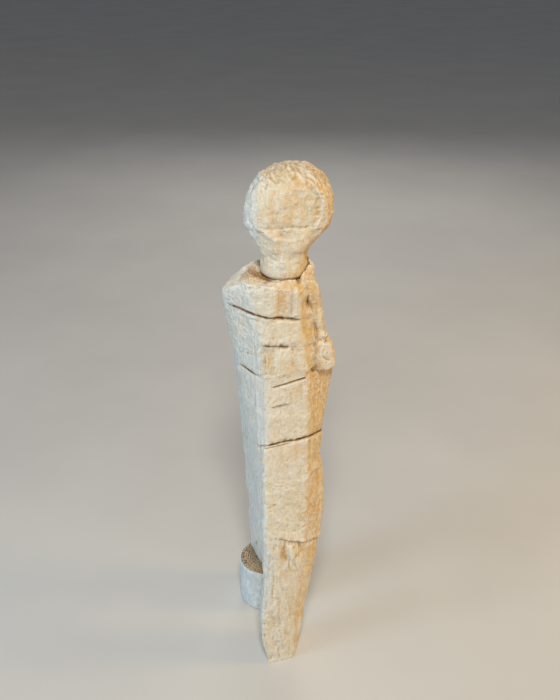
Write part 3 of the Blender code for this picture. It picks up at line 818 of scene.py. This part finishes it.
def make_arm():
    arm = arm_solid("left_arm_look", 0.45)
    remesh(arm, VOXEL * 0.9)
    add_relief(arm, arm_relief)
    p = get_points(arm.data)
    p[:, 2] += collar(p)
    set_points(arm.data, clear_seat(p))
    store(arm.data, "cavity", hollows(arm.data, 10))
    store(arm.data, "wide_cavity", hollows(arm.data, 60))
    store(arm.data, "bare", np.zeros(len(arm.data.vertices)))
    arm.data.shade_smooth()
    return arm


# ---------------------------------------------------------------- log
def make_log():
    sides = 180
    levels = [(0.0, LOG_R - 1.6), (0.8, LOG_R - 0.8), (2.0, LOG_R - 0.35)]
    levels += [(float(z), LOG_R - 0.3) for z in np.arange(3.0, LOG_HEIGHT - 2.0, 0.8)]
    levels += [(LOG_HEIGHT - 1.6, LOG_R - 0.35), (LOG_HEIGHT - 0.9, LOG_R - 0.6),
               (LOG_HEIGHT - 0.35, LOG_R - 1.1)]
    bm = bmesh.new()
    rows = []
    for z, r in levels:
        rows.append([bm.verts.new((r * math.cos(2 * math.pi * i / sides) * MM,
                                   r * math.sin(2 * math.pi * i / sides) * MM, z * MM))
                for i in range(sides)])
    radii = np.arange(LOG_R - 1.8, 0.8, -0.55)
    for r in radii:
        rows.append([bm.verts.new((r * math.cos(2 * math.pi * i / sides) * MM,
                                   r * math.sin(2 * math.pi * i / sides) * MM, (LOG_HEIGHT - 0.3) * MM))
                     for i in range(sides)])
    for low, high in zip(rows, rows[1:]):
        for i in range(sides):
            j = (i + 1) % sides
            bm.faces.new((low[i], low[j], high[j], high[i]))
    bm.faces.new(list(reversed(rows[0])))
    bm.faces.new(rows[-1])
    bmesh.ops.triangulate(bm, faces=[f for f in bm.faces if len(f.verts) > 4])
    bmesh.ops.recalc_face_normals(bm, faces=bm.faces)
    mesh = bpy.data.meshes.new("log_foot_look")
    bm.to_mesh(mesh)
    bm.free()
    log = bpy.data.objects.new("log_foot_look", mesh)
    bpy.context.scene.collection.objects.link(log)
    p = get_points(mesh)
    n = get_normals(mesh)
    r = np.hypot(p[:, 0], p[:, 1])
    angle = np.arctan2(p[:, 1], p[:, 0])
    top = step(p[:, 2], LOG_HEIGHT - 0.8, LOG_HEIGHT - 0.35) * (1 - step(r, LOG_R - 1.5, LOG_R - 1.0))
    side = 1 - top
    d = side * gesso(p, 0.45, 0.7, 300) * step(p[:, 2], 0.0, 3.0)
    d += side * (-0.25)
    rings = r + 0.9 * noise(p, (9, 9, 60), 311) + 0.25 * noise(p, (3, 3, 60), 312)
    d += top * (-0.28 * (0.5 + 0.5 * np.sin(rings * 2 * math.pi / 2.1))
                + 0.12 * noise(p, (1.2, 1.2, 60), 313))
    d += top * (-0.55 * bell((angle - 2.35 + 0.05 * noise(p, 4, 314)) * r, 0.45) * step(r, 6, 10))
    d += top * (-0.45 * bell((angle + 1.9 + 0.05 * noise(p, 4, 315)) * r, 0.35) * step(r, 9, 13))
    pits = np.clip(noise(p, (2.0, 2.0, 60), 316) - 0.25, 0, 1) * step(p[:, 1] - 0.4 * p[:, 0], -4, 10)
    d += top * (-2.6 * pits)
    q = p + n * d[:, None]
    q[:, 2] = np.clip(q[:, 2], 0.0, LOG_HEIGHT)
    set_points(mesh, q)
    store(mesh, "cavity", hollows(mesh, 8))
    store(mesh, "wide_cavity", hollows(mesh, 40))
    store(mesh, "bare", top)
    store(mesh, "ring", rings / 2.1)
    mesh.shade_smooth()
    return log


# ---------------------------------------------------------------- materials
class Nodes:
    """Short calls for building one material."""

    def __init__(self, name):
        self.material = bpy.data.materials.new(name)
        self.material.use_nodes = True
        self.tree = self.material.node_tree
        self.shader = self.tree.nodes["Principled BSDF"]
        self.coordinate = self.tree.nodes.new("ShaderNodeTexCoord").outputs["Object"]

    def add(self, kind, **settings):
        node = self.tree.nodes.new(kind)
        for key, value in settings.items():
            setattr(node, key, value)
        return node

    def put(self, socket, value):
        if isinstance(value, bpy.types.NodeSocket):
            self.tree.links.new(value, socket)
        elif isinstance(value, tuple) and len(value) == 3 and socket.type == "RGBA":
            socket.default_value = (*value, 1.0)
        else:
            socket.default_value = value

    def scaled(self, size):
        """Object coordinates divided by a cell size in millimetres."""
        node = self.add("ShaderNodeMapping")
        self.put(node.inputs["Vector"], self.coordinate)
        node.inputs["Scale"].default_value = tuple(1.0 / (s * MM) for s in size)
        return node.outputs["Vector"]

    def noise(self, size, detail=3.0, rough=0.55, distortion=0.0):
        node = self.add("ShaderNodeTexNoise")
        self.put(node.inputs["Vector"], self.scaled(size))
        node.inputs["Scale"].default_value = 1.0
        node.inputs["Detail"].default_value = detail
        node.inputs["Roughness"].default_value = rough
        node.inputs["Distortion"].default_value = distortion
        return node.outputs["Fac"]

    def attribute(self, name):
        return self.add("ShaderNodeAttribute", attribute_name=name).outputs["Fac"]

    def fit(self, value, low, high, to_low=0.0, to_high=1.0, smooth=True):
        node = self.add("ShaderNodeMapRange", interpolation_type="SMOOTHSTEP" if smooth else "LINEAR")
        for key, number in (("Value", value), ("From Min", low), ("From Max", high),
                            ("To Min", to_low), ("To Max", to_high)):
            self.put(node.inputs[key], number)
        return node.outputs["Result"]

    def mix(self, factor, a, b, kind="MIX"):
        node = self.add("ShaderNodeMix", data_type="RGBA", blend_type=kind)
        self.put(node.inputs["Factor"], factor)
        self.put(node.inputs[6], a)
        self.put(node.inputs[7], b)
        return node.outputs[2]

    def math(self, kind, a, b=0.0):
        node = self.add("ShaderNodeMath", operation=kind)
        self.put(node.inputs[0], a)
        self.put(node.inputs[1], b)
        return node.outputs[0]

    def bump(self, height, strength, distance, normal=None):
        node = self.add("ShaderNodeBump")
        node.inputs["Strength"].default_value = strength
        node.inputs["Distance"].default_value = distance * MM
        self.put(node.inputs["Height"], height)
        if normal is not None:
            self.put(node.inputs["Normal"], normal)
        return node.outputs["Normal"]


def wood_color(m):
    """Raw brown wood with upright grain."""
    grain = m.noise((0.9, 0.9, 14), 4.0, 0.6)
    patches = m.noise((7, 7, 12), 2.0)
    base = m.mix(m.fit(grain, 0.35, 0.65), (0.25, 0.125, 0.045), (0.48, 0.28, 0.115))
    return m.mix(m.fit(patches, 0.4, 0.7, 0.0, 0.5), base, (0.56, 0.37, 0.18))


def painted_material():
    m = Nodes("painted_wood")
    cavity = m.attribute("cavity")
    wide = m.attribute("wide_cavity")
    bare = m.attribute("bare")
    stain_and_light = m.attribute("stain_and_light")
    dabs = m.noise((3.2, 3.2, 6.5), 4.0, 0.6, 0.3)
    broad = m.noise((14, 14, 22), 3.0, 0.6)
    streaks = m.noise((1.9, 1.9, 20), 4.0, 0.65)
    specks = m.noise((0.8, 0.8, 1.0), 2.0, 0.5)
    paint = m.mix(m.fit(broad, 0.38, 0.64), (0.81, 0.735, 0.585), (0.83, 0.775, 0.66))
    paint = m.mix(m.fit(dabs, 0.44, 0.68, 0.0, 0.8), paint, (0.87, 0.83, 0.735))
    paint = m.mix(m.fit(streaks, 0.52, 0.72, 0.0, 0.40), paint, (0.77, 0.64, 0.42))
    # cool grey where the cool mask is set: partly grey paint, partly painted cool light
    grey_paint_and_cool_light = m.mix(m.fit(streaks, 0.36, 0.62), (0.57, 0.61, 0.62), (0.77, 0.80, 0.78))
    paint = m.mix(m.fit(m.attribute("cool"), 0.0, 1.0, 0.0, 0.80), paint, grey_paint_and_cool_light)
    # yellow tint: partly yellowed paint, partly painted warm light and painted shade, broken up by the brush
    # marks
    yellow_stain_and_light = m.math("MULTIPLY", stain_and_light, m.fit(dabs, 0.30, 0.62, 1.0, 0.45))
    paint = m.mix(yellow_stain_and_light, paint, (0.71, 0.43, 0.125))
    paint = m.mix(m.fit(specks, 0.68, 0.80, 0.0, 0.25), paint, (0.52, 0.34, 0.16))
    # golden tint in hollows, partly stain and partly painted shade, then dark brown in the deepest lines,
    # partly dirt and partly painted shade
    hollow_stain_and_shade = m.mix(m.fit(wide, 0.15, 1.1, 0.0, 0.55), paint, (0.70, 0.48, 0.20))
    hollow_stain_and_shade = m.mix(m.fit(cavity, 0.03, 0.28, 0.0, 0.68), hollow_stain_and_shade, (0.60, 0.37, 0.13))
    hollow_stain_and_shade = m.mix(m.fit(cavity, 0.42, 0.95, 0.0, 0.90), hollow_stain_and_shade, (0.20, 0.085, 0.028))
    # painted highlight: raised points lightened towards pale cream
    wear_and_highlight = m.mix(m.fit(cavity, -0.22, -0.06, 0.55, 0.0), hollow_stain_and_shade, (0.90, 0.86, 0.77))
    color = m.mix(bare, wear_and_highlight, wood_color(m))
    # dark brown in the cuts, cracks and pits: partly dirt, partly painted shade
    color = m.mix(m.math("MULTIPLY", m.attribute("dirt_and_shade"), 0.9), color, (0.15, 0.065, 0.022))
    m.put(m.shader.inputs["Base Color"], color)
    m.put(m.shader.inputs["Roughness"], m.fit(dabs, 0.3, 0.7, 0.46, 0.66))
    m.shader.inputs["Specular IOR Level"].default_value = 0.42
    fine = m.noise((0.8, 0.8, 5.0), 4.0, 0.6)
    ripple = m.noise((3.6, 3.6, 1.3), 3.0, 0.6, 0.6)
    normal = m.bump(fine, 0.9, 0.8)
    normal = m.bump(dabs, 0.85, 1.3, normal)
    normal = m.bump(ripple, 0.7, 0.8, normal)
    m.put(m.shader.inputs["Normal"], normal)
    return m.material


def raw_material(name, dark=1.0):
    m = Nodes(name)
    m.put(m.shader.inputs["Base Color"], m.mix(1.0 - dark, wood_color(m), (0.05, 0.025, 0.012)))
    m.put(m.shader.inputs["Roughness"], m.fit(m.noise((1, 1, 6)), 0.3, 0.7, 0.65, 0.85))
    m.put(m.shader.inputs["Normal"], m.bump(m.noise((0.5, 0.5, 7), 4.0, 0.6), 0.6, 0.4))
    return m.material


def log_material():
    m = Nodes("log_wood")
    cavity = m.attribute("cavity")
    bare = m.attribute("bare")
    ring = m.attribute("ring")
    dabs = m.noise((3.2, 3.2, 6.5), 4.0, 0.6, 0.3)
    broad = m.noise((16, 16, 26), 2.0)
    paint = m.mix(m.fit(broad, 0.35, 0.68), (0.53, 0.60, 0.64), (0.61, 0.68, 0.72))
    paint = m.mix(m.fit(dabs, 0.42, 0.66, 0.0, 0.8), paint, (0.74, 0.79, 0.80))
    # painted shade: the painted side darkened in its hollows
    paint = m.mix(m.fit(cavity, 0.03, 0.3, 0.0, 0.5), paint, (0.45, 0.34, 0.20))
    fine = m.noise((1.8, 1.8, 1.8), 4.0, 0.65)
    band = m.math("SINE", m.math("MULTIPLY", ring, 2 * math.pi))
    wood = m.mix(m.fit(band, -0.8, 0.8), (0.20, 0.14, 0.08), (0.56, 0.44, 0.29))
    wood = m.mix(m.fit(fine, 0.46, 0.62, 0.0, 0.8), wood, (0.10, 0.065, 0.035))
    flecks = m.noise((0.9, 0.9, 0.9), 2.0, 0.5)
    wood = m.mix(m.fit(flecks, 0.54, 0.64, 0.0, 0.95), wood, (0.74, 0.64, 0.48))
    # painted shade: the top near black in its pits and cracks
    wood = m.mix(m.fit(cavity, 0.05, 0.35, 0.0, 0.95), wood, (0.035, 0.022, 0.012))
    m.put(m.shader.inputs["Base Color"], m.mix(bare, paint, wood))
    m.put(m.shader.inputs["Roughness"], m.fit(dabs, 0.3, 0.7, 0.55, 0.8))
    m.shader.inputs["Specular IOR Level"].default_value = 0.3
    normal = m.bump(m.noise((0.55, 0.55, 4.5), 4.0, 0.6), 0.45, 0.3)
    normal = m.bump(fine, 0.5, 0.4, normal)
    m.put(m.shader.inputs["Normal"], normal)
    return m.material


def floor_material():
    m = Nodes("floor")
    tone = m.noise((220, 220, 220), 3.0)
    m.put(m.shader.inputs["Base Color"], m.mix(m.fit(tone, 0.3, 0.7), (0.60, 0.60, 0.60),
                                               (0.64, 0.64, 0.635)))
    m.shader.inputs["Roughness"].default_value = 0.75
    return m.material


# ---------------------------------------------------------------- stage
def area_light(name, place, target, size, power, color):
    data = bpy.data.lights.new(name, "AREA")
    data.shape = "SQUARE"
    data.size = size
    data.energy = power
    data.color = color
    item = bpy.data.objects.new(name, data)
    item.location = place
    item.rotation_euler = (Vector(target) - Vector(place)).to_track_quat("-Z", "Y").to_euler()
    bpy.context.scene.collection.objects.link(item)


def make_stage():
    mesh = bpy.data.meshes.new("floor")
    half = 14.0
    mesh.from_pydata([(-half, -half, 0), (half, -half, 0), (half, half, 0), (-half, half, 0)], [],
                     [(0, 1, 2, 3)])
    floor = bpy.data.objects.new("floor", mesh)
    bpy.context.scene.collection.objects.link(floor)
    mesh.materials.append(floor_material())
    middle = (0.0, -0.03, 0.24)
    area_light("key", (-0.25, -1.00, 1.45), middle, 0.32, 18.2, (1.0, 0.91, 0.77))
    area_light("left", (-1.3, -0.22, 0.50), middle, 0.4, 6.7, (0.58, 0.81, 1.0))
    area_light("right", (1.15, -0.40, 0.50), middle, 0.32, 5.5, (1.0, 0.68, 0.28))
    area_light("back", (0.5, 1.3, 1.0), middle, 0.8, 5.0, (1.0, 0.95, 0.88))
    world = bpy.data.worlds.new("studio")
    world.use_nodes = True
    background = world.node_tree.nodes["Background"]
    background.inputs["Color"].default_value = (0.93, 0.95, 1.0, 1.0)
    background.inputs["Strength"].default_value = 0.14
    bpy.context.scene.world = world
    bpy.context.scene.view_settings.view_transform = "Standard"


def make_camera():
    data = bpy.data.cameras.new("camera")
    data.sensor_width = 36.0
    data.lens = 41.14
    data.clip_start = 0.01
    data.clip_end = 60.0
    camera = bpy.data.objects.new("camera", data)
    camera.location = (-0.1454, -0.5426, 0.5617)
    pitch = math.radians(28.177)
    heading = math.radians(16.357)
    way = Vector((math.sin(heading) * math.cos(pitch), math.cos(heading) * math.cos(pitch), -math.sin(pitch)))
    camera.rotation_euler = way.to_track_quat("-Z", "Y").to_euler()
    bpy.context.scene.collection.objects.link(camera)
    bpy.context.scene.camera = camera


# ---------------------------------------------------------------- put it together
def dress(piece, node, body, materials):
    piece.data.materials.clear()
    for material in materials:
        piece.data.materials.append(material)
    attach(piece, body)
    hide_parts(node)


make_camera()
make_stage()
paint = painted_material()
# the saw-cut faces are raw wood darkened more than half-way to near black: painted shade inside the open cuts
inside = raw_material("cut_face", 0.45)
raw = raw_material("bare_wood")
for piece, node in split_body(make_body()):
    dress(piece, node, "figure", [paint, inside])
dress(make_head(), "head", "head", [paint])
dress(make_arm(), "left_arm", "figure", [paint])
dress(make_log(), "log_foot", "figure", [log_material()])
for node in ("neck_peg", "arm_peg_upper", "arm_peg_lower", "spine_dowel_left", "spine_dowel_right",
             "foot_peg"):
    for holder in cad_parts[node].material_slots:
        holder.material = raw
